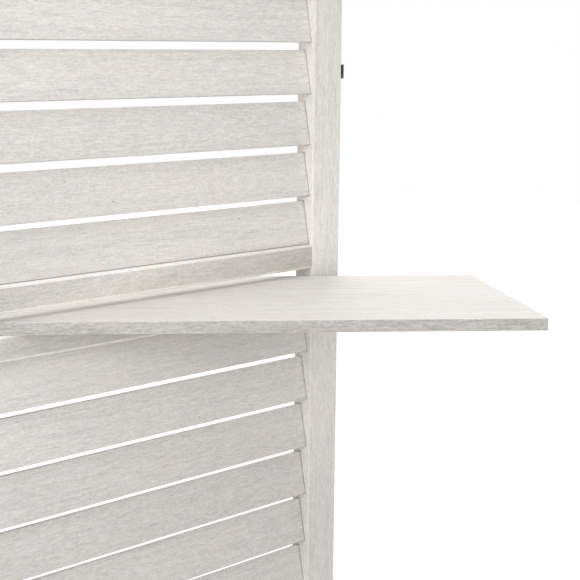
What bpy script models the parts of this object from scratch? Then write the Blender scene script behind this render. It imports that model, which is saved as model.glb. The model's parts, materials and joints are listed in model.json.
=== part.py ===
"""A folding screen of three hinged louvred panels, with boards lying in slots through two of them.

Seen from the front, the panels run from left to right in a zigzag. Panels 1 and 2 meet at a far fold,
panels 2 and 3 at a near fold, and the right end of panel 3 keeps its hinge leaves for a further panel.
Each board lies level along X: it goes in behind the near fold and comes out in front of both panels.
"""

import math

import bmesh
import bpy
from mathutils import Euler, Matrix, Vector

# Whole screen
PANEL_WIDTH = 0.505
PANEL_HEIGHT = 1.700
PANEL_THICKNESS = 0.020
FOLD_ANGLE = math.radians(41.6)
FIT_GAP = 0.0003
CUT_OVERRUN = 0.005

# Frame timber
STILE_WIDTH = 0.040
END_RAIL_HEIGHT = 0.0365
SLOT_SILL_HEIGHT = 0.0215
SLOT_HEAD_HEIGHT = 0.0229
BOTTOM_RAIL_LIFT = 0.031
STILE_EASE = 0.0012
RAIL_EASE = 0.0025
TENON_LENGTH = 0.012
TENON_SHOULDER = 0.004

# Slats
SLAT_WIDTH = 0.0408
SLAT_THICKNESS = 0.005
SLAT_TILT = math.radians(10)
SLAT_EASE = 0.0006
SLAT_LEAST_GAP = 0.003
LOWEST_SLAT_STEP = 0.0455
SLAT_TOP_GAP = 0.0006
SLAT_BOTTOM_SINK = 0.0007
HOUSING_DEPTH = 0.008

# Boards and their slots
SHELF_COUNT = 3
TOP_SHELF_DROP = 0.390
SHELF_SPACING = 0.424
SHELF_THICKNESS = 0.010
SLOT_HEADROOM = 0.0062
SHELF_FRONT_CLEARANCE = 0.003
SHELF_BACK_CLEARANCE = 0.0045
SHELF_END_CLEARANCE = 0.0052
SHELF_OVERHANG = 0.1205
SHELF_CORNER_RADIUS = 0.002
SHELF_EASE = 0.0003

# Hinges
HINGES_PER_FOLD = 3
HINGE_END_INSET = 0.200
HINGE_LENGTH = 0.040
LEAF_WIDTH = 0.0165
LEAF_THICKNESS = 0.0006
LEAF_TO_LEAF_GAP = 0.0004
LEAF_BEHIND_KNUCKLES = 0.0008
KNUCKLE_COUNT = 3
KNUCKLE_RADIUS = 0.0011
KNUCKLE_PROUD = 0.0004
PIN_RADIUS = 0.00045
PIN_CLEARANCE = 0.0002
PIN_HEAD_RADIUS = 0.00095
PIN_HEAD_HEIGHT = 0.0006

# Glides under the stiles
GLIDE_RADIUS = 0.009
GLIDE_TREAD_RADIUS = 0.0078
GLIDE_HEIGHT = 0.003

# Facets of the round forms
SMOOTH_BELOW = math.radians(40)
STILE_EASE_SEGMENTS = 2
RAIL_EASE_SEGMENTS = 3
CORNER_SEGMENTS = 3
KNUCKLE_SIDES = 16
PIN_SIDES = 12
GLIDE_SIDES = 20

# Places that follow from the sizes above
OPENING_LEFT = STILE_WIDTH
OPENING_RIGHT = PANEL_WIDTH - STILE_WIDTH
TIMBER_BOTTOM = GLIDE_HEIGHT + FIT_GAP
AXIS_BESIDE_STILE = FIT_GAP + LEAF_THICKNESS + LEAF_TO_LEAF_GAP / 2
AXIS_PITCH = PANEL_WIDTH + 2 * AXIS_BESIDE_STILE
SLAT_HALF_HEIGHT = (SLAT_WIDTH * math.cos(SLAT_TILT) + SLAT_THICKNESS * math.sin(SLAT_TILT)) / 2
KNUCKLE_STEP = (HINGE_LENGTH + FIT_GAP) / KNUCKLE_COUNT
KNUCKLE_HEIGHT = KNUCKLE_STEP - FIT_GAP


def start_empty_scene():
    """Removes every object, so that the file holds only the screen."""
    for thing in list(bpy.data.objects):
        bpy.data.objects.remove(thing, do_unlink=True)


def new_collection(name):
    collection = bpy.data.collections.new(name)
    bpy.context.scene.collection.children.link(collection)
    return collection


def new_material(name, colour, roughness, metallic=0.0):
    material = bpy.data.materials.new(name)
    material.use_nodes = True
    shader = material.node_tree.nodes["Principled BSDF"]
    shader.inputs["Base Color"].default_value = (*colour, 1)
    shader.inputs["Roughness"].default_value = roughness
    shader.inputs["Metallic"].default_value = metallic
    return material


def add_block(bm, low, high):
    """Adds a box between two corners to the bmesh and returns its vertices."""
    low = Vector(low)
    high = Vector(high)
    place = Matrix.Translation((low + high) / 2) @ Matrix.Diagonal((*(high - low), 1))
    return bmesh.ops.create_cube(bm, size=1, matrix=place)["verts"]


def ease_edges(bm, verts, along, radius, segments):
    """Rounds the edges of these vertices that run along one axis (0, 1 or 2)."""
    others = [axis for axis in range(len(verts[0].co)) if axis != along]
    edges = set()
    for vert in verts:
        for edge in vert.link_edges:
            run = edge.verts[0].co - edge.verts[1].co
            if abs(run[along]) > max(abs(run[axis]) for axis in others):
                edges.add(edge)
    bmesh.ops.bevel(
        bm, geom=list(edges), offset=radius, segments=segments, profile=0.5, affect="EDGES"
    )


def add_cylinder(bm, radius, low, high, sides, top_radius=None):
    """Adds an upright cylinder or cone about the Z axis."""
    bmesh.ops.create_cone(
        bm,
        cap_ends=True,
        segments=sides,
        radius1=radius,
        radius2=radius if top_radius is None else top_radius,
        depth=high - low,
        matrix=Matrix.Translation((0, 0, (low + high) / 2)),
    )


def mesh_from(bm, name, smooth=False):
    mesh = bpy.data.meshes.new(name)
    bm.to_mesh(mesh)
    bm.free()
    if smooth:
        mesh.shade_smooth()
        mesh.set_sharp_from_angle(angle=SMOOTH_BELOW)
    return mesh


def cut_or_joined(name, body, steps, cutters, smooth=False):
    """The body's mesh after a list of (operation, tool mesh) Booleans, taken in turn."""
    shape = bpy.data.objects.new(name + "_blank", body)
    cutters.objects.link(shape)
    tools = []
    for operation, tool_mesh in steps:
        tool = bpy.data.objects.new(tool_mesh.name, tool_mesh)
        cutters.objects.link(tool)
        tools.append(tool)
        boolean = shape.modifiers.new(operation.title(), "BOOLEAN")
        boolean.operation = operation
        boolean.object = tool
    for helper in [shape, *tools]:
        helper.hide_render = True
        helper.display_type = "WIRE"
    bpy.context.view_layer.update()
    evaluated = shape.evaluated_get(bpy.context.evaluated_depsgraph_get())
    result = bpy.data.meshes.new_from_object(evaluated)
    result.name = name
    if smooth:
        result.shade_smooth()
        result.set_sharp_from_angle(angle=SMOOTH_BELOW)
    return result


# Heights up the panel


def shelf_tops():
    highest = PANEL_HEIGHT - TOP_SHELF_DROP
    return [highest - SHELF_SPACING * level for level in reversed(range(SHELF_COUNT))]


def sill_top(shelf_top):
    """The rail that a board lies on."""
    return shelf_top - SHELF_THICKNESS - FIT_GAP


def head_bottom(shelf_top):
    """The rail above a board, with room to lift it and slide it out."""
    return shelf_top + SLOT_HEADROOM


def rail_spans():
    """(name, bottom, top) of every rail of a panel, from the floor up."""
    spans = [("bottom_rail", BOTTOM_RAIL_LIFT, BOTTOM_RAIL_LIFT + END_RAIL_HEIGHT)]
    for level, top in enumerate(shelf_tops(), start=1):
        sill = sill_top(top)
        head = head_bottom(top)
        spans.append((f"slot_sill_{level}", sill - SLOT_SILL_HEIGHT, sill))
        spans.append((f"slot_head_{level}", head, head + SLOT_HEAD_HEIGHT))
    spans.append(("top_rail", PANEL_HEIGHT - END_RAIL_HEIGHT, PANEL_HEIGHT))
    return spans


def slat_heights():
    """Centre heights of a panel's slats, each bay between two rails filled evenly above its lowest slat."""
    rails = rail_spans()
    least_step = 2 * SLAT_HALF_HEIGHT + SLAT_LEAST_GAP
    heights = []
    for below, above in zip(rails[0::2], rails[1::2]):
        low = below[2]
        high = above[1]
        lowest = low - SLAT_BOTTOM_SINK + SLAT_HALF_HEIGHT
        highest = high - SLAT_TOP_GAP - SLAT_HALF_HEIGHT
        above_it = int((highest - lowest) / least_step)
        second = min(lowest + LOWEST_SLAT_STEP, highest)
        step = (highest - second) / max(above_it - 1, 1)
        heights.append(lowest)
        heights.extend(second + step * index for index in range(above_it))
    return heights


# Timber of one panel, in the panel's own frame: X to the right, Y to the back, Z up from the floor


def slat_set_mesh(name, left, right, grow, ease):
    """All slats of a panel from x = left to right, leaning back at the top."""
    bm = bmesh.new()
    for height in slat_heights():
        half = Vector((right - left, SLAT_THICKNESS + 2 * grow, SLAT_WIDTH + 2 * grow)) / 2
        verts = add_block(bm, -half, half)
        centre = Vector(((left + right) / 2, PANEL_THICKNESS / 2, height))
        place = Matrix.Translation(centre) @ Matrix.Rotation(-SLAT_TILT, 4, "X")
        bmesh.ops.transform(bm, matrix=place, verts=verts)
        if ease:
            ease_edges(bm, verts, 0, ease, 1)
    return mesh_from(bm, name)


def rail_seats_mesh():
    """What is planed off the lowest slat of each bay, so that it sits flat on the rail below it."""
    bm = bmesh.new()
    for _, bottom, top in rail_spans()[0::2]:
        low = (0, -CUT_OVERRUN, bottom)
        high = (PANEL_WIDTH, PANEL_THICKNESS + CUT_OVERRUN, top + FIT_GAP)
        add_block(bm, low, high)
    return mesh_from(bm, "rail_seats")


def tenon_bars_mesh(name, left, right, grow):
    """A bar inside each rail, from x = left to right: the rails' tenons, or the mortices for them."""
    inset = TENON_SHOULDER - grow
    bm = bmesh.new()
    for _, bottom, top in rail_spans():
        add_block(bm, (left, inset, bottom + inset), (right, PANEL_THICKNESS - inset, top - inset))
    return mesh_from(bm, name)


def stile_blank_mesh(name, left):
    bm = bmesh.new()
    low = (left, 0, TIMBER_BOTTOM)
    high = (left + STILE_WIDTH, PANEL_THICKNESS, PANEL_HEIGHT)
    ease_edges(bm, add_block(bm, low, high), 2, STILE_EASE, STILE_EASE_SEGMENTS)
    return mesh_from(bm, name)


def mortice_bars_mesh():
    reach = TENON_LENGTH + FIT_GAP
    return tenon_bars_mesh("mortice_bars", OPENING_LEFT - reach, OPENING_RIGHT + reach, FIT_GAP)


def left_stile_mesh(cutters):
    """The stile that the slats are glued into, with mortices for the rails."""
    sticks = slat_set_mesh(
        "slat_sticks", OPENING_LEFT - HOUSING_DEPTH, OPENING_RIGHT + HOUSING_DEPTH, 0, SLAT_EASE
    )
    slats = cut_or_joined("slats", sticks, [("DIFFERENCE", rail_seats_mesh())], cutters)
    blank = stile_blank_mesh("left_stile_blank", 0)
    steps = [("DIFFERENCE", mortice_bars_mesh()), ("UNION", slats)]
    return cut_or_joined("left_stile_with_slats", blank, steps, cutters)


def right_stile_mesh(cutters):
    """The stile that closes the panel, with a housing for each slat and mortices for the rails."""
    housings = slat_set_mesh(
        "slat_housings", OPENING_LEFT, OPENING_RIGHT + HOUSING_DEPTH + FIT_GAP, FIT_GAP, 0
    )
    blank = stile_blank_mesh("right_stile_blank", OPENING_RIGHT)
    steps = [("DIFFERENCE", mortice_bars_mesh()), ("DIFFERENCE", housings)]
    return cut_or_joined("right_stile", blank, steps, cutters)


def rail_mesh(name, height, cutters):
    """A rail from shoulder to shoulder with a tenon at each end, its bottom at Z = 0."""
    bm = bmesh.new()
    low = (OPENING_LEFT + FIT_GAP, 0, 0)
    high = (OPENING_RIGHT - FIT_GAP, PANEL_THICKNESS, height)
    ease_edges(bm, add_block(bm, low, high), 0, RAIL_EASE, RAIL_EASE_SEGMENTS)
    body = mesh_from(bm, name + "_body")
    bar = bmesh.new()
    inset = TENON_SHOULDER
    add_block(
        bar,
        (OPENING_LEFT - TENON_LENGTH, inset, inset),
        (OPENING_RIGHT + TENON_LENGTH, PANEL_THICKNESS - inset, height - inset),
    )
    return cut_or_joined(name, body, [("UNION", mesh_from(bar, name + "_tenons"))], cutters)


def glide_mesh():
    bm = bmesh.new()
    add_cylinder(bm, GLIDE_TREAD_RADIUS, 0, GLIDE_HEIGHT, GLIDE_SIDES, GLIDE_RADIUS)
    return mesh_from(bm, "glide", smooth=True)


# Hinges, about their own axis: the leaf lies to the -X side and runs back along +Y


def knuckle_spans():
    """(bottom, top) of the three knuckles, centred on the hinge's middle."""
    bottoms = [KNUCKLE_STEP * number - HINGE_LENGTH / 2 for number in range(KNUCKLE_COUNT)]
    return [(bottom, bottom + KNUCKLE_HEIGHT) for bottom in bottoms]


def leaf_mesh(name, knuckles, cutters):
    """A hinge leaf with the knuckles of these numbers (0 lowest), bored for the pin."""
    inner = -LEAF_TO_LEAF_GAP / 2
    outer = inner - LEAF_THICKNESS
    start = KNUCKLE_RADIUS + LEAF_BEHIND_KNUCKLES
    end = KNUCKLE_PROUD + LEAF_WIDTH
    bm = bmesh.new()
    add_block(bm, (outer, start, -HINGE_LENGTH / 2), (inner, end, HINGE_LENGTH / 2))
    plate = mesh_from(bm, name + "_plate")
    steps = []
    for number in knuckles:
        low, high = knuckle_spans()[number]
        tab = bmesh.new()
        add_block(tab, (outer, 0, low), (inner, (start + end) / 2, high))
        barrel = bmesh.new()
        add_cylinder(barrel, KNUCKLE_RADIUS, low, high, KNUCKLE_SIDES)
        steps.append(("UNION", mesh_from(tab, f"{name}_tab_{number}")))
        steps.append(("UNION", mesh_from(barrel, f"{name}_barrel_{number}")))
    bore = bmesh.new()
    half = HINGE_LENGTH / 2 + CUT_OVERRUN
    add_cylinder(bore, PIN_RADIUS + PIN_CLEARANCE, -half, half, KNUCKLE_SIDES)
    steps.append(("DIFFERENCE", mesh_from(bore, name + "_bore")))
    return cut_or_joined(name, plate, steps, cutters, smooth=True)


def pin_mesh(cutters):
    """The hinge pin, with a flat head resting on the top knuckle."""
    top = HINGE_LENGTH / 2 + FIT_GAP
    shank = bmesh.new()
    add_cylinder(shank, PIN_RADIUS, -HINGE_LENGTH / 2, top + PIN_HEAD_HEIGHT / 2, PIN_SIDES)
    head = bmesh.new()
    add_cylinder(head, PIN_HEAD_RADIUS, top, top + PIN_HEAD_HEIGHT, PIN_SIDES)
    steps = [("UNION", mesh_from(head, "pin_head"))]
    return cut_or_joined("hinge_pin", mesh_from(shank, "pin_shank"), steps, cutters, smooth=True)


def hinge_heights():
    lowest = HINGE_END_INSET
    step = (PANEL_HEIGHT - 2 * HINGE_END_INSET) / (HINGES_PER_FOLD - 1)
    return [lowest + step * index for index in range(HINGES_PER_FOLD)]


# Plan of the zigzag, from the near fold's axis, X to the right and Y to the back


def turned(x, y, angle):
    """A plan point turned about the origin."""
    return Vector((x * math.cos(angle) - y * math.sin(angle), x * math.sin(angle) + y * math.cos(angle)))


def far_fold():
    """The axis between panels 1 and 2, one panel to the left of the near fold's."""
    return turned(-AXIS_PITCH, -(PANEL_THICKNESS + 2 * KNUCKLE_PROUD), -FOLD_ANGLE)


def shelf_front():
    """The board's front edge clears the near stile in every position of the fold."""
    reach = math.hypot(STILE_WIDTH + AXIS_BESIDE_STILE, PANEL_THICKNESS + KNUCKLE_PROUD)
    return reach + SHELF_FRONT_CLEARANCE


def shelf_back():
    """The board's back edge stops in front of the far stile's inner corner."""
    inner = turned(
        AXIS_BESIDE_STILE + OPENING_RIGHT, -(PANEL_THICKNESS + KNUCKLE_PROUD), FOLD_ANGLE
    )
    return inner.y - SHELF_BACK_CLEARANCE


def shelf_left():
    """The board ends short of the stile that swings about the far fold."""
    swing = AXIS_BESIDE_STILE + STILE_WIDTH
    level = far_fold().y - shelf_back()
    return far_fold().x + math.sqrt(max(swing**2 - level**2, 0)) + SHELF_END_CLEARANCE


def shelf_right():
    """The board runs on past the screen's right end."""
    return -far_fold().x + SHELF_OVERHANG


def shelf_mesh():
    """A board with rounded corners, its top at Z = 0."""
    bm = bmesh.new()
    verts = add_block(
        bm, (shelf_left(), shelf_front(), -SHELF_THICKNESS), (shelf_right(), shelf_back(), 0)
    )
    ease_edges(bm, verts, 2, SHELF_CORNER_RADIUS, CORNER_SEGMENTS)
    rims = [edge for edge in bm.edges if edge.verts[0].co.z == edge.verts[1].co.z]
    bmesh.ops.bevel(bm, geom=rims, offset=SHELF_EASE, segments=1, profile=0.5, affect="EDGES")
    return mesh_from(bm, "shelf")


# Placing the pieces


def place(name, mesh, parent, location, collection, rotation=(0, 0, 0)):
    piece = bpy.data.objects.new(name, mesh)
    piece.parent = parent
    piece.location = location
    piece.rotation_euler = Euler(rotation)
    collection.objects.link(piece)
    return piece


def place_axis(name, plan_point, angle, parent, collection):
    """An empty on a fold's axis, turned to the direction of the panel that it carries."""
    axis = bpy.data.objects.new(name, None)
    axis.parent = parent
    axis.location = (plan_point[0], plan_point[1], 0)
    axis.rotation_euler = Euler((0, 0, angle))
    axis.empty_display_size = STILE_WIDTH
    collection.objects.link(axis)
    return axis


def add_panel(number, meshes, carrier, corner, collection):
    """One panel whose front left bottom corner lies at this plan point of its carrier."""
    at = (corner[0], corner[1], 0)
    name = f"panel_{number}_"
    place(name + "left_stile_with_slats", meshes["left_stile"], carrier, at, collection)
    place(name + "right_stile", meshes["right_stile"], carrier, at, collection)
    for rail, bottom, _ in rail_spans():
        at_rail = (corner[0], corner[1], bottom)
        place(name + rail, meshes.get(rail[:-2], meshes["end_rail"]), carrier, at_rail, collection)
    middle = STILE_WIDTH / 2
    for side, x in (("left", middle), ("right", PANEL_WIDTH - middle)):
        spot = (corner[0] + x, corner[1] + PANEL_THICKNESS / 2, 0)
        place(name + side + "_glide", meshes["glide"], carrier, spot, collection)


def add_tongues(name, meshes, carrier, axis, turn, collection):
    """The leaves with the middle knuckle, on a panel's right edge."""
    for number, height in enumerate(hinge_heights(), start=1):
        at = (axis[0], axis[1], height)
        place(f"{name}_{number}_tongue_leaf", meshes["tongue"], carrier, at, collection, turn)


def add_forks(name, meshes, carrier, turn, collection):
    """The leaves with the outer knuckles, and their pins, on the edge beside the carrier's own axis."""
    for number, height in enumerate(hinge_heights(), start=1):
        at = (0, 0, height)
        place(f"{name}_{number}_fork_leaf", meshes["fork"], carrier, at, collection, turn)
        place(f"{name}_{number}_pin", meshes["pin"], carrier, at, collection)


def stand_on_origin(root):
    """Moves the whole screen so that the middle of its footprint is at the origin."""
    bpy.context.view_layer.update()
    graph = bpy.context.evaluated_depsgraph_get()
    corners = []
    for piece in root.children_recursive:
        if piece.type == "MESH":
            shape = piece.evaluated_get(graph)
            corners.extend(shape.matrix_world @ vert.co for vert in shape.data.vertices)
    low = Vector([min(corner[i] for corner in corners) for i in range(3)])
    high = Vector([max(corner[i] for corner in corners) for i in range(3)])
    middle = (low + high) / 2
    root.location = (-middle.x, -middle.y, -low.z)
    return low, high


def finish_meshes(meshes):
    """Gives each mesh its material: whitewashed timber, black hinges and pale glides."""
    stile_wood = new_material("stile_wood", (0.71, 0.68, 0.65), 0.6)
    rail_wood = new_material("rail_wood", (0.66, 0.62, 0.58), 0.65)
    shelf_wood = new_material("shelf_wood", (0.78, 0.75, 0.72), 0.55)
    hinge_steel = new_material("hinge_steel", (0.02, 0.02, 0.022), 0.45, 0.8)
    glide_plastic = new_material("glide_plastic", (0.55, 0.52, 0.48), 0.6)
    finishes = {
        "left_stile": stile_wood,
        "right_stile": stile_wood,
        "end_rail": rail_wood,
        "slot_sill": rail_wood,
        "slot_head": rail_wood,
        "shelf": shelf_wood,
        "tongue": hinge_steel,
        "fork": hinge_steel,
        "pin": hinge_steel,
        "glide": glide_plastic,
    }
    for name, material in finishes.items():
        meshes[name].materials.append(material)


def main():
    start_empty_scene()
    parts = new_collection("folding_screen_with_shelves")
    cutters = new_collection("cutters")
    meshes = {
        "left_stile": left_stile_mesh(cutters),
        "right_stile": right_stile_mesh(cutters),
        "end_rail": rail_mesh("end_rail", END_RAIL_HEIGHT, cutters),
        "slot_sill": rail_mesh("slot_sill", SLOT_SILL_HEIGHT, cutters),
        "slot_head": rail_mesh("slot_head", SLOT_HEAD_HEIGHT, cutters),
        "glide": glide_mesh(),
        "tongue": leaf_mesh("tongue_leaf", [1], cutters),
        "fork": leaf_mesh("fork_leaf", [0, 2], cutters),
        "pin": pin_mesh(cutters),
        "shelf": shelf_mesh(),
    }
    finish_meshes(meshes)

    root = bpy.data.objects.new("screen", None)
    parts.objects.link(root)
    past_edge = PANEL_WIDTH + AXIS_BESIDE_STILE
    behind = -(PANEL_THICKNESS + KNUCKLE_PROUD)
    panel_2 = place_axis("panel_2_at_near_fold", (0, 0), -FOLD_ANGLE, root, parts)
    panel_3 = place_axis("panel_3_at_near_fold", (0, 0), FOLD_ANGLE, root, parts)
    panel_1 = place_axis("panel_1_at_far_fold", far_fold(), FOLD_ANGLE, root, parts)
    panel_2_left = place_axis("panel_2_at_far_fold", far_fold(), -FOLD_ANGLE, root, parts)
    add_panel(1, meshes, panel_1, (-past_edge, KNUCKLE_PROUD), parts)
    add_panel(2, meshes, panel_2, (-past_edge, behind), parts)
    add_panel(3, meshes, panel_3, (AXIS_BESIDE_STILE, behind), parts)

    half_turn = math.pi
    add_tongues("far_hinge", meshes, panel_1, (0, 0), (0, 0, 0), parts)
    add_forks("far_hinge", meshes, panel_2_left, (0, half_turn, 0), parts)
    add_tongues("near_hinge", meshes, panel_2, (0, 0), (half_turn, 0, 0), parts)
    add_forks("near_hinge", meshes, panel_3, (0, 0, half_turn), parts)
    end_axis = (AXIS_PITCH, -(PANEL_THICKNESS + 2 * KNUCKLE_PROUD))
    add_tongues("end_hinge", meshes, panel_3, end_axis, (0, 0, 0), parts)

    for level, top in enumerate(shelf_tops(), start=1):
        place(f"shelf_{level}", meshes["shelf"], root, (0, 0, top), parts)
    low, high = stand_on_origin(root)
    print("size", [round(high[i] - low[i], 4) for i in range(3)])
    print("near fold axis", [round(v, 6) for v in root.location])
    print("far fold axis", [round(v, 6) for v in far_fold() + root.location.xy])


main()
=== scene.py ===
# %% [markdown]
# A folding screen with shelves
#
# The real thing is a room screen of louvred wooden panels, hinged in a zigzag and finished in a
# thin white wash. Boards lie level in slots through the panels and make shelves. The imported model
# gives every part its exact size and place, so this lesson only adds what makes it look real:
# separate slats with their own grain, washed timber, black hinges with screws, soft light and the
# camera.

# %% Load the frame
import json
import math
import random

import bmesh
import bpy
from mathutils import Matrix, Vector


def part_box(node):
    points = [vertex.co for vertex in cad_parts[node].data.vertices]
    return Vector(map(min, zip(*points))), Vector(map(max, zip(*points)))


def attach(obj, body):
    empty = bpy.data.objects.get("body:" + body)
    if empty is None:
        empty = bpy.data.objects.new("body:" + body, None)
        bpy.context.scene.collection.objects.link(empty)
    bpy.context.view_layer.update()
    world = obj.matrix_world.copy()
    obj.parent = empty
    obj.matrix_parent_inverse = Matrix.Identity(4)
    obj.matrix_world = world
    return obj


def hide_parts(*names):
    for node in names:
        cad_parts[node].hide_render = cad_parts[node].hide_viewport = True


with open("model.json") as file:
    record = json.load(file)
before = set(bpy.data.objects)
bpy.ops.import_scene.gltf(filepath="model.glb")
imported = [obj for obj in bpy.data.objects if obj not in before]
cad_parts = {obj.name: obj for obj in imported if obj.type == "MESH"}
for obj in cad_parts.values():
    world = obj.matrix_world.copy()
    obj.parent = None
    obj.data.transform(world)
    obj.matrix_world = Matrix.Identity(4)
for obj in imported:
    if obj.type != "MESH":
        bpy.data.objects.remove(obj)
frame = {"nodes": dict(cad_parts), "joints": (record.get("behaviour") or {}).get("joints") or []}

scene = bpy.context.scene
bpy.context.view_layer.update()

# %% [markdown]
# The camera stands where the photographer stood: a little under eye height, near the screen and
# looking along the shelf at one end panel. The frame takes in only a corner of the screen. A
# small lens shift keeps the upright stile nearly upright, as the photographer's own camera did.

# %% Camera
joints = {joint["name"]: joint for joint in frame["joints"]}
NEAR_FOLD = Vector(joints["near_fold"]["pos_m"])
TOP_SHELF_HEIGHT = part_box("shelf_3")[1].z
EYE_FROM_FOLD = Vector((0.1329, -1.1602))
EYE_ABOVE_SHELF = 0.2105
YAW_RIGHT = math.radians(4.125)
PITCH_DOWN = math.radians(6.411)
ROLL = math.radians(0.25)
FRAME_PIXELS = 580
FOCAL_PIXELS = 1577.8
SENSOR = 36.0
SHIFT = (0.19, -0.11)
NEAREST, FARTHEST = 0.05, 60

lens = bpy.data.cameras.new("camera")
lens.sensor_width = SENSOR
lens.lens = SENSOR * FOCAL_PIXELS / FRAME_PIXELS
lens.shift_x, lens.shift_y = SHIFT
lens.clip_start, lens.clip_end = NEAREST, FARTHEST
camera = bpy.data.objects.new("camera", lens)
camera.location = (
    NEAR_FOLD.x + EYE_FROM_FOLD.x,
    NEAR_FOLD.y + EYE_FROM_FOLD.y,
    TOP_SHELF_HEIGHT + EYE_ABOVE_SHELF,
)
turn = Matrix.Rotation(-YAW_RIGHT, 4, "Z") @ Matrix.Rotation(math.pi / 2 - PITCH_DOWN, 4, "X")
camera.rotation_euler = (turn @ Matrix.Rotation(ROLL, 4, "Z")).to_euler()
scene.collection.objects.link(camera)
scene.camera = camera
scene.view_settings.view_transform = "Standard"
print("camera at", [round(v, 3) for v in camera.location], "lens", round(lens.lens, 1))

# %% [markdown]
# Every finish is a small tree of nodes. A node can be set up by a dozen lines each time, or by
# one helper that takes its inputs as a table, where a value is set and a socket is linked. That
# keeps the recipes short. Each kind of node gets a helper of its own where it is first used.

# %% Node helpers


def add_node(tree, kind, inputs=None, **settings):
    """A new node, with its settings and the values or links of its inputs."""
    node = tree.nodes.new(kind)
    for key, value in settings.items():
        setattr(node, key, value)
    for key, value in (inputs or {}).items():
        if isinstance(value, bpy.types.NodeSocket):
            tree.links.new(value, node.inputs[key])
        else:
            node.inputs[key].default_value = value
    return node


def math_node(tree, operation, first, second=0.0):
    inputs = {0: first, 1: second}
    return add_node(tree, "ShaderNodeMath", inputs, operation=operation).outputs[0]


print("made", add_node.__name__, "and", math_node.__name__)

# %% [markdown]
# The light is a white studio, and its first part is an even glow from all round, which the world
# gives. Behind the screen the picture should be plain white. More light would do that too, but it
# would bleach the wood, so the world is white only to the rays that show the background.

# %% World
AMBIENT = 0.56
WARM_WHITE = (1, 0.995, 0.985, 1)
WHITE = (1, 1, 1, 1)


def shown_rays(tree):
    """1 for the rays that show the background: from the camera, off a gloss or through glass."""
    path = tree.nodes.new("ShaderNodeLightPath").outputs
    seen = path["Is Camera Ray"]
    for ray in ("Is Glossy Ray", "Is Transmission Ray"):
        seen = math_node(tree, "MAXIMUM", seen, path[ray])
    return seen


world = bpy.data.worlds.new("studio")
scene.world = world
world.use_nodes = True
sky = world.node_tree
glow = sky.nodes["Background"]
glow.inputs["Color"].default_value = WARM_WHITE
glow.inputs["Strength"].default_value = AMBIENT
white = add_node(sky, "ShaderNodeBackground", {"Color": WHITE, "Strength": 1.0})
shown = {0: shown_rays(sky), 1: glow.outputs[0], 2: white.outputs[0]}
pick = add_node(sky, "ShaderNodeMixShader", shown)
sky.links.new(pick.outputs[0], sky.nodes["World Output"].inputs["Surface"])
print("world glows at", AMBIENT)

# %% [markdown]
# The floor is one large pale square. Lit like the screen it would end in a grey horizon, so it
# glows nearly white for the same rays as the world does. To all other light it is dull and grey:
# it throws little up at the boards, and the screen's shadow still shows on it.

# %% Floor
FLOOR_HALF = 14.0
FLOOR_GREY = (0.30, 0.30, 0.30, 1)
FLOOR_ROUGHNESS = 0.9
FLOOR_GLOW = 0.95

bm = bmesh.new()
bmesh.ops.create_grid(bm, x_segments=1, y_segments=1, size=FLOOR_HALF)
floor_mesh = bpy.data.meshes.new("floor")
bm.to_mesh(floor_mesh)
bm.free()
floor = bpy.data.objects.new("floor", floor_mesh)
scene.collection.objects.link(floor)

floor_paint = bpy.data.materials.new("floor")
floor_paint.use_nodes = True
tree = floor_paint.node_tree
shader = tree.nodes["Principled BSDF"]
shader.inputs["Base Color"].default_value = FLOOR_GREY
shader.inputs["Roughness"].default_value = FLOOR_ROUGHNESS
shader.inputs["Emission Color"].default_value = WHITE
lift = math_node(tree, "MULTIPLY", shown_rays(tree), FLOOR_GLOW)
tree.links.new(lift, shader.inputs["Emission Strength"])
floor.data.materials.append(floor_paint)
print("floor is", 2 * FLOOR_HALF, "m wide")

# %% [markdown]
# Four large soft lamps shape the wood: one above, one at each side and one behind and above. The
# last makes the board a bright line where it is seen through its slot. The side facing the camera
# gets the least, which is why the board's front edge is darker than its top; the sawn edges are
# also painted darker, as shade. Each lamp is a row of a table, and turns toward the point that it
# lights.

# %% Lamps
LAMPS = (
    # name, place, what it points at, size in metres, watts
    ("top_lamp", (-0.2, -0.7, 3.3), (0.1, 0, 1.2), (2.6, 2.2), 15),
    ("right_lamp", (2.9, -2.1, 1.62), (0.2, 0, 1.5), (1.8, 1.6), 43),
    ("left_lamp", (-1.4, -2.7, 1.7), (0.3, 0, 1.5), (1.6, 1.6), 45),
    ("back_lamp", (0.2, 2.5, 2.8), (0.2, 0, 1.3), (2.6, 1.8), 31),
)

for name, place, target, size, watts in LAMPS:
    data = bpy.data.lights.new(name, "AREA")
    data.shape = "RECTANGLE"
    data.size, data.size_y = size
    data.energy = watts
    lamp = bpy.data.objects.new(name, data)
    lamp.location = place
    lamp.rotation_euler = (Vector(target) - Vector(place)).to_track_quat("-Z", "Y").to_euler()
    scene.collection.objects.link(lamp)
print("lamps", len(LAMPS))

# %% [markdown]
# Whitewash is thinned paint wiped along the wood. It fills the surface but the grain still shows
# as long faint streaks, the brown wood glows through where it is thin, and pores leave tiny dark
# specks. An image of wood would repeat from slat to slat, and noise stretched along the grain
# doesn't. X runs along the grain, in metres. A slow noise first pushes the coordinate sideways, so
# that streaks wander as they do in wood.

# %% Bent grain
DRIFT = (3, 14, 1, 0.5)
BEND = (0.0, 0.006, 0.006)


def vector_node(tree, operation, *vectors):
    inputs = dict(enumerate(vectors))
    return add_node(tree, "ShaderNodeVectorMath", inputs, operation=operation)


def noise(tree, vector, along, across, detail, roughness):
    """Noise with its own scale along the grain and across it, in turns per metre."""
    place = vector_node(tree, "MULTIPLY", vector, (along, across, across)).outputs["Vector"]
    inputs = {"Vector": place, "Scale": 1.0, "Detail": detail, "Roughness": roughness}
    return add_node(tree, "ShaderNodeTexNoise", inputs).outputs


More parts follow.
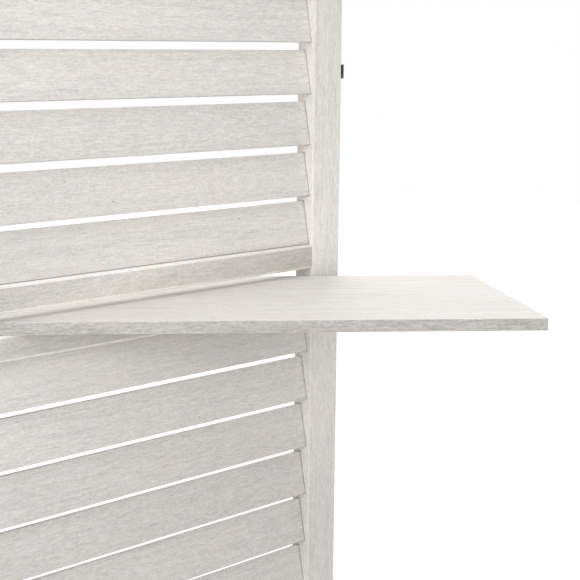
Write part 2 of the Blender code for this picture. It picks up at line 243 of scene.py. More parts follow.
def bent_grain(group, place):
    """The coordinate, pushed across the grain by a slow noise."""
    drift = noise(group, place, *DRIFT)["Color"]
    return vector_node(group, "MULTIPLY_ADD", drift, BEND, place).outputs["Vector"]


print("streaks wander by up to", BEND[1], "m")

# %% [markdown]
# Each kind of mark in the timber is one noise, with a length and a width of its own. Long marks
# lie on the bent coordinate and specks on the plain one. Year rings are lines where a broad noise
# passes through the crests of a sine.

# %% Marks in the timber
MARKS = {
    # name: turns per metre along the grain and across it, detail, roughness
    "streak": (7, 240, 4, 0.62),
    "fibre": (40, 1050, 2, 0.6),
    "ring": (1.6, 30, 1, 0.4),
    "mottle": (95, 640, 2, 0.6),
    "sparkle": (330, 900, 1, 0.5),
    "cloud": (6, 24, 3, 0.55),
}
BENT_MARKS = ("streak", "fibre", "ring")
RING_LINES = 95.0
RING_CREST = (0.5, 1.0)


def ramp(tree, value, low, high, to_low=0.0, to_high=1.0):
    """The value stretched from low..high to to_low..to_high, clamped."""
    inputs = {"Value": value, "From Min": low, "From Max": high}
    inputs.update({"To Min": to_low, "To Max": to_high})
    return add_node(tree, "ShaderNodeMapRange", inputs).outputs["Result"]


def marks_of(group, place):
    """The timber's marks by name. Streaks, fibres and rings follow the bent coordinate."""
    bent = bent_grain(group, place)
    marks = {
        name: noise(group, bent if name in BENT_MARKS else place, *scales)["Fac"]
        for name, scales in MARKS.items()
    }
    wave = math_node(group, "SINE", math_node(group, "MULTIPLY", marks["ring"], RING_LINES))
    marks["line"] = ramp(group, wave, *RING_CREST)
    return marks


print("marks", ", ".join(MARKS))

# %% [markdown]
# The marks make the finish lighter and darker by a few percent each. Masks from outside add to
# that: the highlight mask paints light on a rail's rounded edges and a stile's inner faces, Cut is
# 1 on a sawn edge, which gets painted shade, Grain strengthens the streaks and the tone mask dims a
# piece or a part of it: on stiles and boards it is painted shade, on slats partly painted shade by
# height and partly each slat's own tone.

# %% Shade of the timber
MIDDLE = 0.5
GRAIN_SWINGS = {"streak": 0.34, "fibre": 0.22}
OTHER_SWINGS = {"mottle": 0.42, "sparkle": 0.40, "cloud": 0.20}
LINE_DEPTH = 0.03
# Painted highlight: how much lighter the rounded edges and the stiles' inner faces are painted.
HIGHLIGHT_PAINT = 0.30
# Painted shade: how much darker a board's sawn edges are painted.
SAWN_EDGE_SHADE = 0.39


def plus(tree, value, part, amount):
    """The value with an amount of another one added."""
    inputs = {0: part, 1: amount, 2: value}
    return add_node(tree, "ShaderNodeMath", inputs, operation="MULTIPLY_ADD").outputs[0]


def swing(group, marks, swings):
    """The marks' own swings about their middle, added up."""
    total = 0.0
    for name, amount in swings.items():
        total = plus(group, total, math_node(group, "SUBTRACT", marks[name], MIDDLE), amount)
    return total


def shade_of(group, marks, source):
    """How light the finish is, about 1, with the masks' painted highlight and painted shade."""
    shade = math_node(group, "MULTIPLY", swing(group, marks, GRAIN_SWINGS), source["Grain"])
    shade = math_node(group, "ADD", shade, swing(group, marks, OTHER_SWINGS))
    shade = plus(group, shade, marks["line"], -LINE_DEPTH)
    shade = plus(group, shade, source["Painted_highlight"], HIGHLIGHT_PAINT)
    shade = plus(group, shade, source["Cut"], -SAWN_EDGE_SHADE)
    return math_node(group, "MULTIPLY", math_node(group, "ADD", shade, 1.0), source["Tone_and_shade"])


print("grain swings", GRAIN_SWINGS)

# %% [markdown]
# The colour is the wash, with the bare wood showing where clouds and streaks make it thin. A weak
# noise moves the hue, so that no two places have quite the same white. Band is 1 on the warm line
# where wash has run on a slat. The pores are cells of a Voronoi pattern, and only a few in a
# hundred are kept. A Mix node has sockets for numbers, vectors and colours under the same names,
# so those for colours are called by their number.

# %% Tint and pores of the timber
CLOUD_IN_WEAR = 0.7
CUT_IN_WEAR = 0.12
WEAR_START, WEAR_END = 0.86, 1.16
BAND_COLOUR = (0.80, 0.74, 0.655, 1)
HUE = (120, 200, 1, 0.5)
HUE_SWING = (0.07, 0.05, 0.08)
HUE_LEAST = (0.965, 0.975, 0.96)
PORE_SPACING = (60, 130, 130)
PORE_CORE, PORE_RIM = 0.05, 0.11
PORE_RARITY = (0.965, 0.97)
MIX_FIRST, MIX_SECOND, MIX_RESULT = 6, 7, 2


def mixed(tree, share, first, second):
    """The first colour, blended into the second by a share."""
    inputs = {"Factor": share, MIX_FIRST: first, MIX_SECOND: second}
    return add_node(tree, "ShaderNodeMix", inputs, data_type="RGBA").outputs[MIX_RESULT]


def worn_share(group, marks, source):
    """The share of bare wood that shows."""
    worn = plus(group, marks["streak"], marks["cloud"], CLOUD_IN_WEAR)
    worn = plus(group, worn, source["Cut"], CUT_IN_WEAR)
    return math_node(group, "MULTIPLY", ramp(group, worn, WEAR_START, WEAR_END), source["Thin"])


def tint_of(group, worn, source):
    """The wash, worn and banded, with its hue moved."""
    tint = mixed(group, worn, source["Wash"], source["Bare"])
    tint = mixed(group, source["Band"], tint, BAND_COLOUR)
    drift = noise(group, source["Vector"], *HUE)["Color"]
    hue = vector_node(group, "MULTIPLY_ADD", drift, HUE_SWING, HUE_LEAST).outputs["Vector"]
    return vector_node(group, "MULTIPLY", tint, hue).outputs["Vector"]


def pores_of(group, place):
    """1 in the few pores."""
    place = vector_node(group, "MULTIPLY", place, PORE_SPACING).outputs["Vector"]
    cells = add_node(group, "ShaderNodeTexVoronoi", {"Vector": place, "Scale": 1.0}).outputs
    near = ramp(group, cells["Distance"], PORE_CORE, PORE_RIM, 1.0, 0.0)
    rare = add_node(group, "ShaderNodeSeparateColor", {"Color": cells["Color"]}).outputs["Red"]
    return math_node(group, "MULTIPLY", near, ramp(group, rare, *PORE_RARITY))


print("hue swings", HUE_SWING)

# %% [markdown]
# All of that becomes one shader group with the coordinate as an input, so slats, rails, stiles
# and shelves use the same recipe with the grain turned their own way. The group puts out a
# colour, a roughness and a height, and the shader itself stays in each material.

# %% Washed timber group
PORE_DARK = 0.45
PORE_DEPTH = 0.8
FIBRE_HEIGHT = 0.5
MOTTLE_HEIGHT = 0.4
MOTTLE_SPAN = (0.3, 0.7)
SATIN, DULL = 0.50, 0.66
MOST_ROUGH = 0.8
OUTPUTS = {"Color": "Color", "Roughness": "Float", "Height": "Float"}
TIMBER_INPUTS = {"Vector": "Vector", "Wash": "Color", "Bare": "Color"}
TIMBER_VALUES = {"Thin": 0.3, "Tone_and_shade": 1.0, "Painted_highlight": 0.0, "Cut": 0.0, "Band": 0.0, "Grain": 1.0}


def new_group(name, inputs, values):
    """A shader group with these inputs, and its own input and output sockets."""
    group = bpy.data.node_groups.new(name, "ShaderNodeTree")
    for key, kind in inputs.items():
        group.interface.new_socket(key, in_out="INPUT", socket_type="NodeSocket" + kind)
    for key, value in values.items():
        socket = group.interface.new_socket(key, in_out="INPUT", socket_type="NodeSocketFloat")
        socket.default_value = value
    for key, kind in OUTPUTS.items():
        group.interface.new_socket(key, in_out="OUTPUT", socket_type="NodeSocket" + kind)
    source = group.nodes.new("NodeGroupInput").outputs
    return group, source, group.nodes.new("NodeGroupOutput").inputs


def dimmed(tree, colour, level):
    inputs = {0: colour, "Scale": level}
    node = add_node(tree, "ShaderNodeVectorMath", inputs, operation="SCALE")
    return node.outputs["Vector"]


TIMBER, source, result = new_group("washed_timber", TIMBER_INPUTS, TIMBER_VALUES)
marks = marks_of(TIMBER, source["Vector"])
worn = worn_share(TIMBER, marks, source)
pores = pores_of(TIMBER, source["Vector"])
dark = plus(TIMBER, 1.0, pores, -PORE_DARK)
level = math_node(TIMBER, "MULTIPLY", shade_of(TIMBER, marks, source), dark)
TIMBER.links.new(dimmed(TIMBER, tint_of(TIMBER, worn, source), level), result["Color"])
rough = ramp(TIMBER, marks["mottle"], *MOTTLE_SPAN, SATIN, DULL)
rough = math_node(TIMBER, "ADD", rough, worn)
TIMBER.links.new(math_node(TIMBER, "MINIMUM", rough, MOST_ROUGH), result["Roughness"])
height = plus(TIMBER, marks["streak"], marks["fibre"], FIBRE_HEIGHT)
height = plus(TIMBER, height, marks["mottle"], MOTTLE_HEIGHT)
TIMBER.links.new(plus(TIMBER, height, pores, -PORE_DEPTH), result["Height"])
print("timber group has", len(TIMBER.nodes), "nodes")

# %% [markdown]
# A CAD node sits at the origin with its place in its mesh, so Object coordinates are the screen's
# own. The panels stand at an angle, and the timber's grain has to follow them: the coordinate is
# turned back by the panel's angle, and for an upright stile its Z becomes the grain's direction.
# A slat has its own coordinate, which it carries on its points.

# %% Coordinates of the grain


def parts_of(tree, vector):
    """The X, Y and Z of a vector."""
    return add_node(tree, "ShaderNodeSeparateXYZ", {"Vector": vector}).outputs


def object_place(tree):
    return tree.nodes.new("ShaderNodeTexCoord").outputs["Object"]


def along_panel(angle):
    """The coordinate along a panel that stands at this angle."""

    def vector_of(tree):
        inputs = {"Vector": object_place(tree), "Rotation": (0, 0, -angle)}
        return add_node(tree, "ShaderNodeMapping", inputs).outputs["Vector"]

    return vector_of


def up_panel(angle):
    """The coordinate up a stile of a panel that stands at this angle."""

    def vector_of(tree):
        parts = parts_of(tree, along_panel(angle)(tree))
        inputs = {"X": parts["Z"], "Y": parts["X"], "Z": parts["Y"]}
        return add_node(tree, "ShaderNodeCombineXYZ", inputs).outputs["Vector"]

    return vector_of


def own(attribute, output="Fac"):
    """A value or coordinate that a piece carries on its own points."""

    def value_of(tree):
        return add_node(tree, "ShaderNodeAttribute", attribute_name=attribute).outputs[output]

    return value_of


print("made", along_panel.__name__, "and", up_panel.__name__)

# %% [markdown]
# Masks say where the finish differs. The rails' rounded edges and the stiles' inner faces get a
# painted highlight, and a board's sawn edges get painted shade, with a little more bare wood. Edges
# could be found by their curvature, which needs a fine mesh. The direction of the surface is
# enough here: on a level rail only the rounded edges face half up, and on a board only the edges
# are upright. No mask looks at where the camera stands.

# %% Masks by direction
ROUND_FROM, ROUND_TO = (0.15, 0.3), (0.985, 0.995)
# The rounded edges' mask is a painted highlight, and so is the inner faces' mask below.
ROUND_HIGHLIGHT = 1.8
SAWN_TILT = (0.5, 0.75)
BOARD_GRAIN, SAWN_GRAIN = 2.0, 0.7
SIDE_TURN = (0.8, 0.95)
SIDE_HIGHLIGHT = 0.45


def tilt_of(tree):
    """How far a surface faces up or down, from 0 to 1."""
    normal = tree.nodes.new("ShaderNodeTexCoord").outputs["Normal"]
    return math_node(tree, "ABSOLUTE", parts_of(tree, normal)["Z"])


def highlight_on_rounded_edge(tree):
    """A painted highlight: above 1 on a level rail's rounded long edges, 0 on its flat faces."""
    tilt = tilt_of(tree)
    rise = ramp(tree, tilt, *ROUND_FROM)
    fall = ramp(tree, tilt, *ROUND_TO, ROUND_HIGHLIGHT, 0.0)
    return math_node(tree, "MULTIPLY", rise, fall)


def sawn_edge(tree):
    """1 on the upright faces of a level board."""
    return ramp(tree, tilt_of(tree), *SAWN_TILT, 1.0, 0.0)


def board_grain(tree):
    """Strong grain on a board's broad faces and a faint one on its sawn edges."""
    return ramp(tree, sawn_edge(tree), 0.0, 1.0, BOARD_GRAIN, SAWN_GRAIN)


def highlight_on_side_face(angle):
    """A painted highlight: more than 0 on the faces across a panel's length, such as the inner
    faces of its stiles.
    """

    def value_of(tree):
        normal = tree.nodes.new("ShaderNodeTexCoord").outputs["Normal"]
        length = (math.cos(angle), math.sin(angle), 0.0)
        along = vector_node(tree, "DOT_PRODUCT", normal, length).outputs["Value"]
        across = math_node(tree, "ABSOLUTE", along)
        return ramp(tree, across, *SIDE_TURN, 0.0, SIDE_HIGHLIGHT)

    return value_of


print("rounded edges tilt from", ROUND_FROM, "to", ROUND_TO)

# %% [markdown]
# Other differences go by place. A stile is painted darker low down, as shade. A rail is darker
# toward the right stile of its panel, and its wash is thinner and browner there. A board is painted
# a little darker toward its right end, as shade. A mask drawn as an image would need an unwrapped
# mesh. One coordinate does as well: it is stretched between two places, and beyond them the end
# values hold.

# %% Masks by place
# Painted shade: a stile is painted darker below these heights.
SHADE_BELOW, LIT_ABOVE = 1.05, 1.18
LOW_SHADE = 0.895
RAIL_WEAR = (0.22, 0.44)
# Painted shade: a board is painted a little darker toward its right end.
BOARD_SHADING = (0.2, 0.05)
BOARD_SHADES = (1.015, 0.955)
BOARD_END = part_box("shelf_3")[1].x


def stile_painted_shade(tree):
    """Painted shade: a tone that rises to 1 between two heights, darker low down."""
    height = parts_of(tree, object_place(tree))["Z"]
    return ramp(tree, height, SHADE_BELOW, LIT_ABOVE, LOW_SHADE, 1.0)


def toward_joint(angle, corner, at_start, at_end):
    """A value that changes along a rail toward the right stile of its panel."""

    def value_of(tree):
        along = parts_of(tree, along_panel(angle)(tree))["X"]
        start, end = (corner + reach for reach in RAIL_WEAR)
        return ramp(tree, along, start, end, at_start, at_end)

    return value_of


def board_painted_shade(tree):
    """Painted shade: a tone that falls a little toward a board's right end."""
    along = parts_of(tree, along_panel(0)(tree))["X"]
    start, end = (BOARD_END - reach for reach in BOARD_SHADING)
    return ramp(tree, along, start, end, *BOARD_SHADES)


print("board ends at", round(BOARD_END, 4))

# %% [markdown]
# A few slats carry a pale warm line under their top edge, where the wash has run. It is drawn on
# the slat's own unturned coordinate and broken into patches by one more noise.

# %% Band on a slat
SLAT_WIDTH = 0.0408
BAND_DROP = 0.0042
BAND_CORE, BAND_RIM = 0.0005, 0.0011
BAND_PATCHES = (22, 60, 1, 0.5)
PATCH_EDGE = (0.35, 0.5)


def band_line(tree):
    """1 along a thin line under a slat's top edge, on the slats that carry a band."""
    place = own("local", "Vector")(tree)
    off = math_node(tree, "SUBTRACT", parts_of(tree, place)["Z"], SLAT_WIDTH / 2 - BAND_DROP)
    line = ramp(tree, math_node(tree, "ABSOLUTE", off), BAND_CORE, BAND_RIM, 1.0, 0.0)
    line = math_node(tree, "MULTIPLY", line, own("band")(tree))
    patches = noise(tree, place, *BAND_PATCHES)["Fac"]
    return math_node(tree, "MULTIPLY", line, ramp(tree, patches, *PATCH_EDGE))


print("band lies", BAND_DROP, "m under the edge")

# %% [markdown]
# A material holds the shader, and takes its colour, roughness and relief from a group. Slats and
# boards have one finish each. Rails and stiles get theirs later, one for each panel's angle.

# %% Timber materials
WASH = (0.715, 0.692, 0.670, 1)
RAIL_WASH = (0.635, 0.611, 0.585, 1)
BOARD_WASH = (0.85, 0.823, 0.797, 1)
BARE = (0.47, 0.37, 0.27, 1)
SLAT_THIN = 0.17
BOARD_THIN = 0.25
TIMBER_GLOSS = 0.35
TIMBER_RELIEF = {"Strength": 0.3, "Distance": 0.0006}


def new_finish(name):
    """A new material with its tree and its shader."""
    material = bpy.data.materials.new(name)
    material.use_nodes = True
    return material, material.node_tree, material.node_tree.nodes["Principled BSDF"]


def wear_group(tree, shader, group, inputs, relief):
    """Feeds the shader's colour, roughness and normal from a group."""
    marks = add_node(tree, "ShaderNodeGroup", inputs, node_tree=group).outputs
    bump = add_node(tree, "ShaderNodeBump", {**relief, "Height": marks["Height"]})
    tree.links.new(marks["Color"], shader.inputs["Base Color"])
    tree.links.new(marks["Roughness"], shader.inputs["Roughness"])
    tree.links.new(bump.outputs["Normal"], shader.inputs["Normal"])


def timber_material(name, vector_of, wash, masks):
    """A washed timber whose coordinate comes from vector_of(tree). Masks are values or makers."""
    material, tree, shader = new_finish(name)
    shader.inputs["Specular IOR Level"].default_value = TIMBER_GLOSS
    inputs = {"Vector": vector_of(tree), "Wash": wash, "Bare": BARE}
    for mask, value in masks.items():
        inputs[mask] = value(tree) if callable(value) else value
    wear_group(tree, shader, TIMBER, inputs, TIMBER_RELIEF)
    return material


SLAT_MASKS = {"Thin": SLAT_THIN, "Tone_and_shade": own("tone_and_shade"), "Band": band_line}
SLAT_FINISH = timber_material("slat_timber", own("grain", "Vector"), WASH, SLAT_MASKS)
# A board's sawn edges get painted shade and show a little more bare wood, and its right end gets
# painted shade.
BOARD_MASKS = {"Thin": BOARD_THIN, "Cut": sawn_edge, "Grain": board_grain, "Tone_and_shade": board_painted_shade}
SHELF_FINISH = timber_material("shelf_timber", along_panel(0), BOARD_WASH, BOARD_MASKS)
print("finishes", SLAT_FINISH.name, SHELF_FINISH.name)

# %% [markdown]
# The hinges are thin stamped steel with a black satin coat, a little scuffed so that grey metal
# shows through in places. The glides are grey-brown plastic. Both use one group of their own,
# with the scuffs and the fine dents as its masks. Its coordinate is the plain Object one, because
# a coat has no grain.

# %% Scuffed coat group
BLOTCH = (160, 160, 3, 0.6)
GRIT = (900, 900, 2, 0.6)
SCRATCH = (90, 1400, 1, 0.5)
BLOTCH_EDGE = (0.58, 0.72)
SCRATCH_EDGE = (0.66, 0.74)
GRIT_TONES = (0.25, 0.75, 0.85, 1.15)
GRIT_SPAN = (0.3, 0.7)
SCUFF_ROUGH = 0.15
GRIT_ROUGH = 0.06
COAT_INPUTS = {"Coat": "Color", "Under": "Color"}
COAT_VALUES = {"Scuff": 0.5, "Gloss": 0.4}

COATED, source, result = new_group("scuffed_coat", COAT_INPUTS, COAT_VALUES)
place = object_place(COATED)
blotch = noise(COATED, place, *BLOTCH)["Fac"]
grit = noise(COATED, place, *GRIT)["Fac"]
scratch = ramp(COATED, noise(COATED, place, *SCRATCH)["Fac"], *SCRATCH_EDGE)
scuffs = math_node(COATED, "ADD", ramp(COATED, blotch, *BLOTCH_EDGE), scratch)
scuffs = math_node(COATED, "MINIMUM", math_node(COATED, "MULTIPLY", scuffs, source["Scuff"]), 1.0)
coat = mixed(COATED, scuffs, source["Coat"], source["Under"])
uneven = ramp(COATED, grit, *GRIT_TONES)
COATED.links.new(dimmed(COATED, coat, uneven), result["Color"])
rough = ramp(COATED, grit, *GRIT_SPAN, -GRIT_ROUGH, GRIT_ROUGH)
rough = plus(COATED, math_node(COATED, "ADD", source["Gloss"], rough), scuffs, SCUFF_ROUGH)
COATED.links.new(rough, result["Roughness"])
COATED.links.new(math_node(COATED, "ADD", grit, blotch), result["Height"])
print("coat group has", len(COATED.nodes), "nodes")

# %% [markdown]
# The three coats differ only in their colours, their share of scuffs, their gloss and how metallic
# they are, so they are rows of one table. How metallic a coat is stays the same all over it. That
# number is set on the shader itself and doesn't come through the group.

# %% Hinge, screw and glide materials
COAT_RELIEF = {"Strength": 0.25, "Distance": 0.0002}
COATS = {
    # name: coat, what is under it, share of scuffs, roughness, metal
    "hinge_black": ((0.020, 0.019, 0.018, 1), (0.16, 0.155, 0.15, 1), 0.35, 0.42, 0.5),
    "screw_black": ((0.030, 0.029, 0.028, 1), (0.30, 0.29, 0.28, 1), 0.6, 0.36, 0.7),
    "glide_plastic_worn": ((0.50, 0.47, 0.43, 1), (0.62, 0.60, 0.57, 1), 0.4, 0.55, 0.0),
}


def coated_material(name):
    coat, under, scuff, gloss, metal = COATS[name]
    material, tree, shader = new_finish(name)
    shader.inputs["Metallic"].default_value = metal
    inputs = {"Coat": coat, "Under": under, "Scuff": scuff, "Gloss": gloss}
    wear_group(tree, shader, COATED, inputs, COAT_RELIEF)
    return material


HINGE_FINISH, SCREW_FINISH, GLIDE_FINISH = (coated_material(name) for name in COATS)
print("materials", len(bpy.data.materials))

# %% [markdown]
# Each panel is found from its two glides: the line between them gives the panel's direction, and
# its left front corner follows from the timber's width and thickness. Anything built in the
# panel's own coordinates, with X along it, Y towards the back and Z up, is then set down by one
# matrix.

# %% Panels
STILE_WIDTH = 0.040
PANEL_THICKNESS = 0.020
PANELS = ("panel_1", "panel_2", "panel_3")
LEVELS = (1, 2, 3)


def centre_of(node):
    low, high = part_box(node)
    return (low + high) / 2


def panel_place(panel):
    """A panel's matrix, with its left front corner on the floor, its angle and its width."""
    left = centre_of(panel + "_left_glide")
    run = centre_of(panel + "_right_glide") - left
    angle = math.atan2(run.y, run.x)
    corner = Matrix.Translation((left.x, left.y, 0)) @ Matrix.Rotation(angle, 4, "Z")
    corner = corner @ Matrix.Translation((-STILE_WIDTH / 2, -PANEL_THICKNESS / 2, 0))
    return corner, angle, run.length + STILE_WIDTH


def bays_of(panel):
    """The low and high ends of the bays that slats fill, from the rails below and above each."""
    below = ["bottom_rail"] + [f"slot_head_{level}" for level in LEVELS]
    above = [f"slot_sill_{level}" for level in LEVELS] + ["top_rail"]
    return [
        (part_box(f"{panel}_{low}")[1].z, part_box(f"{panel}_{high}")[0].z)
        for low, high in zip(below, above)
    ]


print("bays of a panel", [[round(z, 4) for z in bay] for bay in bays_of("panel_3")])

# %% [markdown]
# New pieces are built as a bmesh and then become an object that rides on its body. Sawn timber
# has no sharp corner anywhere, so a bar starts as a cube whose edges are bevelled. Its faces are
# smooth shaded, and edges steeper than 50 degrees are kept sharp.

# %% Piece helpers
SHARP_ANGLE = math.radians(50)
EDGE_STEPS = 2


def new_piece(name, bm, body, material):
    """Makes the bmesh an object that rides on a body and takes this finish."""
    bmesh.ops.recalc_face_normals(bm, faces=bm.faces)
    mesh = bpy.data.meshes.new(name)
    bm.to_mesh(mesh)
    bm.free()
    mesh.materials.append(material)
    mesh.shade_smooth()
    mesh.set_sharp_from_angle(angle=SHARP_ANGLE)
    piece = bpy.data.objects.new(name, mesh)
    scene.collection.objects.link(piece)
    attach(piece, body)
    return piece


def eased_bar(size, edge):
    """A bmesh of a bar centred on the origin, with its edges rounded."""
    bm = bmesh.new()
    bmesh.ops.create_cube(bm, size=1, matrix=Matrix.Diagonal((*size, 1)))
    bmesh.ops.bevel(
        bm,
        geom=list(bm.edges),
        offset=edge,
        segments=EDGE_STEPS,
        profile=0.5,
        affect="EDGES",
        material=-1,
    )
    return bm


print("edges stay sharp above", round(math.degrees(SHARP_ANGLE)), "degrees")

# %% [markdown]
# The left stile is made again beside its slats, because the CAD node that holds them all gives
# way to these pieces. The other CAD nodes of a panel stay as they are and only change their
# finish: right stiles take the upright grain, rails, sills and heads the level one.

# %% Stiles and rails
TIMBER_EDGE = 0.0012
STILE_THIN = 0.2
RAIL_TONES = (0.96, 0.76)
RAIL_THINS = (0.2, 0.6)


def make_left_stile(panel, place, material):
    low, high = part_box(panel + "_left_stile_with_slats")
    bm = eased_bar((STILE_WIDTH, PANEL_THICKNESS, high.z - low.z), TIMBER_EDGE)
    middle = Matrix.Translation((STILE_WIDTH / 2, PANEL_THICKNESS / 2, (low.z + high.z) / 2))
    bmesh.ops.transform(bm, matrix=place @ middle, verts=bm.verts)
    return new_piece(panel + "_left_stile", bm, panel, material)


def stile_timber(panel, angle):
    # The inner faces get a painted highlight, and the stile gets painted shade low down.
    masks = {"Thin": STILE_THIN, "Painted_highlight": highlight_on_side_face(angle), "Tone_and_shade": stile_painted_shade}
    return timber_material(f"{panel}_stile_timber", up_panel(angle), WASH, masks)


def rail_timber(panel, angle, corner):
    masks = {
        # The rounded edges get a painted highlight.
        "Painted_highlight": highlight_on_rounded_edge,
        "Tone_and_shade": toward_joint(angle, corner, *RAIL_TONES),
        "Thin": toward_joint(angle, corner, *RAIL_THINS),
    }
    return timber_material(f"{panel}_rail_timber", along_panel(angle), RAIL_WASH, masks)


def dress(node, material):
    """Gives a CAD node its finish."""
    frame["nodes"][node].material_slots[0].material = material


print("rail tones toward the joint", RAIL_TONES)

# %% [markdown]
# The slats are thin planed strips, 41 by 5 mm, let into both stiles and tilted so that their top
# edge leans back. The CAD has them in one solid with the left stile, which is right for its
# weight and its collision. Here each slat is a piece of its own, so each gets its own stretch of
# grain and a slightly different tone, which is what makes a louvred panel look like many sticks
# and not like one print. The lowest slat of a bay is planed flat above its rail, so its lower
# edge is cut off level.

# %% Slat sizes
SLAT_THICKNESS = 0.005
SLAT_TILT = math.radians(10)
SLAT_LEAST_GAP = 0.003
LOWEST_SLAT_STEP = 0.0455
SLAT_TOP_GAP = 0.0006
SLAT_BOTTOM_SINK = 0.0007
FIT_GAP = 0.0003
HOUSING_DEPTH = 0.008
SLAT_EDGE = 0.0006
SLAT_HALF_HEIGHT = (SLAT_WIDTH * math.cos(SLAT_TILT) + SLAT_THICKNESS * math.sin(SLAT_TILT)) / 2


def slat_heights(low, high):
    """Centre heights of the slats in a bay, spread evenly above the lowest one."""
    lowest = low - SLAT_BOTTOM_SINK + SLAT_HALF_HEIGHT
    highest = high - SLAT_TOP_GAP - SLAT_HALF_HEIGHT
    above_it = int((highest - lowest) / (2 * SLAT_HALF_HEIGHT + SLAT_LEAST_GAP))
    second = lowest + LOWEST_SLAT_STEP
    step = (highest - second) / (above_it - 1)
    return [lowest] + [second + step * index for index in range(above_it)]


print("slats in a panel", [len(slat_heights(*bay)) for bay in bays_of("panel_3")])

# %% [markdown]
# A slat's tone is chosen for its height in the screen. The listed values are partly painted shade,
# darker lower down, and partly each slat's own tone, and a small draw of its own on top keeps
# neighbours from matching. Tone, grain and band travel on the slat's points, because one material
# serves all the slats and has to find each one's own values there.

# %% Values of a slat
SEED = 7
GRAIN_SHIFT = 4
TONE_SPREAD = 0.028
# Painted shade by height: the low slats are painted darker, and the listed upper values mix painted
# shade with each slat's own tone.
LOWER_SHADE = 0.92
UPPER_TONES_AND_SHADES = (0.88, 0.875, 0.885, 0.92, 0.945, 1.0, 0.905, 0.955, 0.955, 1.04, 1.025, 0.98, 0.97)
FIRST_UPPER_SLAT = 19
TONES_AND_SHADES = dict(enumerate(UPPER_TONES_AND_SHADES, start=FIRST_UPPER_SLAT))
BANDED_SHARE = 0.2
BANDED_SLAT = "panel_3_slat_28"
BAND_STRENGTH = (0.4, 0.8)

draw = random.Random(SEED)


def carry_values(bm, name, number):
    """Puts a slat's grain, its tone with painted shade, its band and own coordinate on its points.
    """
    shift = Vector([draw.uniform(-GRAIN_SHIFT, GRAIN_SHIFT) for _ in range(3)])
    level = 1 + draw.uniform(-TONE_SPREAD, TONE_SPREAD)
    level *= TONES_AND_SHADES.get(number, LOWER_SHADE)
    banded = draw.random() < BANDED_SHARE or name == BANDED_SLAT
    streak = draw.uniform(*BAND_STRENGTH) if banded else 0.0
    grain = bm.verts.layers.float_vector.new("grain")
    tone_and_shade = bm.verts.layers.float.new("tone_and_shade")
    local = bm.verts.layers.float_vector.new("local")
    band = bm.verts.layers.float.new("band")
    for vert in bm.verts:
        vert[local] = vert.co
        vert[grain] = vert.co + shift
        vert[tone_and_shade] = level
        vert[band] = streak


print("tones", LOWER_SHADE, "below slat", FIRST_UPPER_SLAT)

# %% [markdown]
# A slat takes its values while it is still straight, with its middle at the origin. Then it is
# tilted and set down by its panel's matrix, and planed last, because the cut has to be level in
# the standing screen. All slats of a bay go through the same steps: the cut passes under all but
# the lowest, and takes nothing away from them.

# %% Slats


def planed_flat(bm, height):
    """Cuts away what lies under this height and closes the cut."""
    cut = bmesh.ops.bisect_plane(
        bm,
        geom=bm.verts[:] + bm.edges[:] + bm.faces[:],
        plane_co=(0, 0, height),
        plane_no=(0, 0, 1),
        clear_inner=True,
    )
    rim = [part for part in cut["geom_cut"] if isinstance(part, bmesh.types.BMEdge)]
    bmesh.ops.holes_fill(bm, edges=rim)


def make_slat(panel, number, place, length, height, rail_top):
    """One slat, tilted, set down in its panel and planed flat over the rail below."""
    name = f"{panel}_slat_{number:02d}"
    bm = eased_bar((length, SLAT_THICKNESS, SLAT_WIDTH), SLAT_EDGE)
    carry_values(bm, name, number)
    along = STILE_WIDTH - HOUSING_DEPTH + length / 2
    middle = Matrix.Translation((along, PANEL_THICKNESS / 2, height))
    tilt = Matrix.Rotation(-SLAT_TILT, 4, "X")
    bmesh.ops.transform(bm, matrix=place @ middle @ tilt, verts=bm.verts)
    planed_flat(bm, rail_top + FIT_GAP)
    return new_piece(name, bm, panel, SLAT_FINISH)


def fill_bays(panel, place, width):
    """Makes all the slats of a panel, from the floor up, and gives their number."""
    slat_length = width - 2 * STILE_WIDTH + 2 * HOUSING_DEPTH
    number = 0
    for low, high in bays_of(panel):
        for height in slat_heights(low, high):
            number += 1
            slat = make_slat(panel, number, place, slat_length, height, low)
            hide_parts(panel + "_left_stile_with_slats")
    return number


print("slats are", SLAT_WIDTH, "by", SLAT_THICKNESS, "m")

# %% [markdown]
# Now each panel comes together in one go: its left stile, its slats from the floor up, and then
# the finish of every CAD node that stays. Stiles and rails need a finish for each panel, because
# the panel's angle is part of their coordinate. The boards lie along the row and share one.

# %% Build the panels
for panel in PANELS:
    place, angle, width = panel_place(panel)
    stile_finish = stile_timber(panel, angle)
    corner = Matrix.Rotation(-angle, 4, "Z") @ place.translation
    rail_finish = rail_timber(panel, angle, corner.x)
    left_stile = make_left_stile(panel, place, stile_finish)
    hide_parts(panel + "_left_stile_with_slats")
    slats = fill_bays(panel, place, width)
    dress(panel + "_right_stile", stile_finish)
    for side in ("left", "right"):
        dress(f"{panel}_{side}_glide", GLIDE_FINISH)
    for rail in ("bottom_rail", "top_rail"):
        dress(f"{panel}_{rail}", rail_finish)
    for level in LEVELS:
        dress(f"{panel}_slot_sill_{level}", rail_finish)
        dress(f"{panel}_slot_head_{level}", rail_finish)
    print(panel, "angle", round(math.degrees(angle), 1), "slats", slats)
for level in LEVELS:
    dress(f"shelf_{level}", SHELF_FINISH)

# %% [markdown]
# A hinge leaf is held by two countersunk screws with a cross recess. A head is built from rings
# of edges that are bridged, because the recess has to be a real hollow: a black screw shows only
# by the light in its cross. The heads sit in the leaf and stand a tenth of a millimetre proud, so
# that a folded pair of leaves still closes.

# %% Screw head
HEAD_PROUD = 0.0001
HEAD_DEPTH = 0.0004
HEAD_RADIUS = 0.0026
HEAD_SIDES = 24
RECESS_REACH = 0.0015
RECESS_HALF = 0.0003
RECESS_DEPTH = 0.00025
CROSS_ARMS = 4


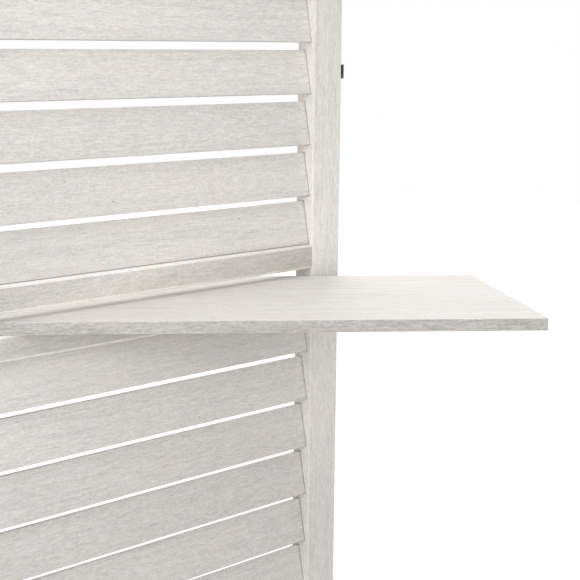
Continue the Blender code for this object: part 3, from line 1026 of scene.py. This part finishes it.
def ring_of(bm, points, height):
    """A closed loop of edges through these points at one height."""
    verts = [bm.verts.new((x, y, height)) for x, y in points]
    return [bm.edges.new(pair) for pair in zip(verts, verts[1:] + verts[:1])]


def circle_points(radius):
    angles = [2 * math.pi * step / HEAD_SIDES for step in range(HEAD_SIDES)]
    return [(radius * math.cos(angle), radius * math.sin(angle)) for angle in angles]


def cross_points():
    reach, half = RECESS_REACH, RECESS_HALF
    arm = [(reach, -half), (reach, half), (half, half)]
    quarter = Matrix.Rotation(2 * math.pi / CROSS_ARMS, 2)
    points = []
    for _ in range(CROSS_ARMS):
        points.extend(arm)
        arm = [tuple(quarter @ Vector(point)) for point in arm]
    return points


def screw_head():
    """A flat head with a cross recess, its leaf's surface at Z = 0."""
    bm = bmesh.new()
    foot = ring_of(bm, circle_points(HEAD_RADIUS), -HEAD_DEPTH)
    side = ring_of(bm, circle_points(HEAD_RADIUS), 0)
    rim = ring_of(bm, circle_points(HEAD_RADIUS - HEAD_PROUD), HEAD_PROUD)
    mouth = ring_of(bm, cross_points(), HEAD_PROUD)
    bottom = ring_of(bm, cross_points(), HEAD_PROUD - RECESS_DEPTH)
    for first, second in ((foot, side), (side, rim), (mouth, bottom)):
        bmesh.ops.bridge_loops(bm, edges=first + second)
    bmesh.ops.triangle_fill(bm, edges=rim + mouth, use_beauty=True)
    bmesh.ops.holes_fill(bm, edges=foot + bottom)
    return bm


print("screw head is", 2 * HEAD_RADIUS, "m across")

# %% [markdown]
# A leaf's own coordinates start on its pin: X across to the partner leaf, Y over the stile's edge
# and Z up. The pin of a hinge stands in front of the panels or behind them, and a leaf is on the
# left or the right edge, so one of four turns brings the screws to their place. Each cross is
# turned at random, as a hand leaves it.

# %% Hinge screws
AXIS_BESIDE_STILE = 0.0011
KNUCKLE_PROUD = 0.0004
LEAF_FACE = -0.0002
SCREW_PLACES = ((0.0078, -0.012), (0.0118, 0.012))
LEAVES = (
    # hinge, kind of leaf, its panel, the panel's edge, behind the panel or in front
    ("far_hinge", "tongue", "panel_1", "right", False),
    ("far_hinge", "fork", "panel_2", "left", False),
    ("near_hinge", "tongue", "panel_2", "right", True),
    ("near_hinge", "fork", "panel_3", "left", True),
    ("end_hinge", "tongue", "panel_3", "right", False),
)


def pin_place(panel, side, behind, height):
    """The matrix of a leaf's pin on a panel's edge at this height."""
    place, _, width = panel_place(panel)
    x = width + AXIS_BESIDE_STILE if side == "right" else -AXIS_BESIDE_STILE
    y = PANEL_THICKNESS + KNUCKLE_PROUD if behind else -KNUCKLE_PROUD
    turn = Matrix()
    if behind:
        turn = Matrix.Rotation(math.pi, 4, "X" if side == "right" else "Z")
    elif side == "left":
        turn = Matrix.Rotation(math.pi, 4, "Y")
    return place @ Matrix.Translation((x, y, height)) @ turn


screws = 0
for hinge, kind, panel, side, behind in LEAVES:
    for number in LEVELS:
        leaf = f"{hinge}_{number}_{kind}_leaf"
        pin = pin_place(panel, side, behind, centre_of(leaf).z)
        dress(leaf, HINGE_FINISH)
        for spot, (y, z) in enumerate(SCREW_PLACES, start=1):
            bm = screw_head()
            spin = Matrix.Rotation(draw.uniform(0, math.pi), 4, "Z")
            stand = Matrix.Translation((LEAF_FACE, y, z)) @ Matrix.Rotation(math.pi / 2, 4, "Y")
            bmesh.ops.transform(bm, matrix=pin @ stand @ spin, verts=bm.verts)
            new_piece(f"{leaf}_screw_{spot}", bm, panel, SCREW_FINISH)
            screws += 1
for name in frame["nodes"]:
    if name.endswith("_pin"):
        dress(name, HINGE_FINISH)
print("screws", screws)
